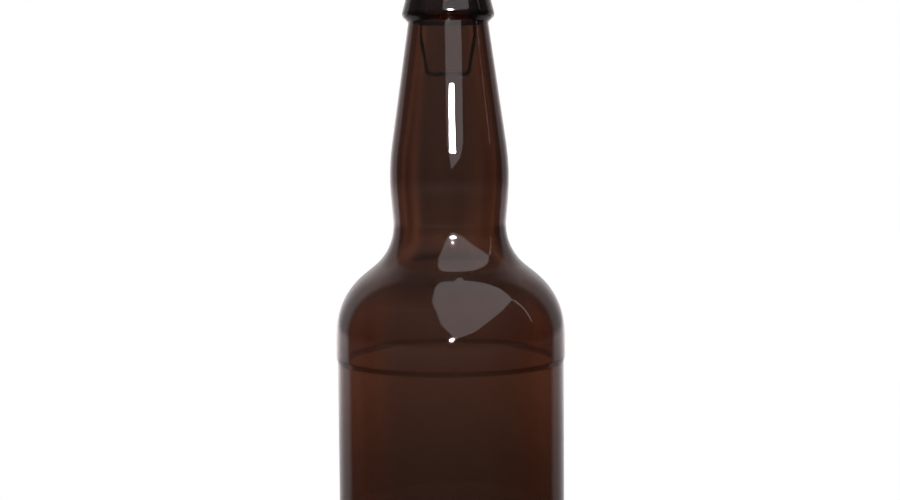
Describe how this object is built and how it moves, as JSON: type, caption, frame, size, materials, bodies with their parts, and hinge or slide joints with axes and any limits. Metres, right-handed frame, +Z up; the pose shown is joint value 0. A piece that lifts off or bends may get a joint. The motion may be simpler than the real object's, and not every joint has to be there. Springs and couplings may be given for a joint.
{
  "type": "swing top bottle",
  "caption": "Amber glass bottle with a swelling neck, closed by a ceramic stopper and rubber washer on a wire bail with a lever.",
  "frame": {"origin": "centre of the ring that the bottle stands on, at the level of the surface under it", "axes": "+Z up the bottle's axis to the stopper; +X and -X through the lever's pivots; +Y towards the side on which the closed lever hangs"},
  "size_m": [0.088, 0.088, 0.3363],
  "materials": {
    "amber_glass": "smooth moulded amber-brown glass",
    "closure_wire": "drawn and galvanised round wire",
    "glazed_ceramic": "glazed white porcelain",
    "washer_rubber": "soft matt rubber"
  },
  "bodies": {
    "bottle": {"glass_bottle": "amber_glass"},
    "lever": {"lever_wire": "closure_wire"},
    "bail": {"stopper_bail": "closure_wire"},
    "stopper_head": {"stopper": "glazed_ceramic", "sealing_washer": "washer_rubber"}
  },
  "joints": [
    {"name": "lever_pivot", "type": "hinge", "parent": "bottle", "child": "lever", "pos_m": [0, 0, 0.3091], "axis": [1, 0, 0], "range_deg": [0, 155]},
    {"name": "bail_eyes", "type": "hinge", "parent": "lever", "child": "bail", "pos_m": [0, -0.00097, 0.30217], "axis": [1, 0, 0], "range_deg": [-116.25, 0]},
    {"name": "stopper_swivel", "type": "hinge", "parent": "bail", "child": "stopper_head", "pos_m": [0, 0, 0.33005], "axis": [1, 0, 0], "range_deg": [-38.75, 0]}
  ],
  "couplings": [
    {"joint": "bail_eyes", "follows": "lever_pivot", "ratio": -0.75},
    {"joint": "stopper_swivel", "follows": "lever_pivot", "ratio": -0.25}
  ]
}
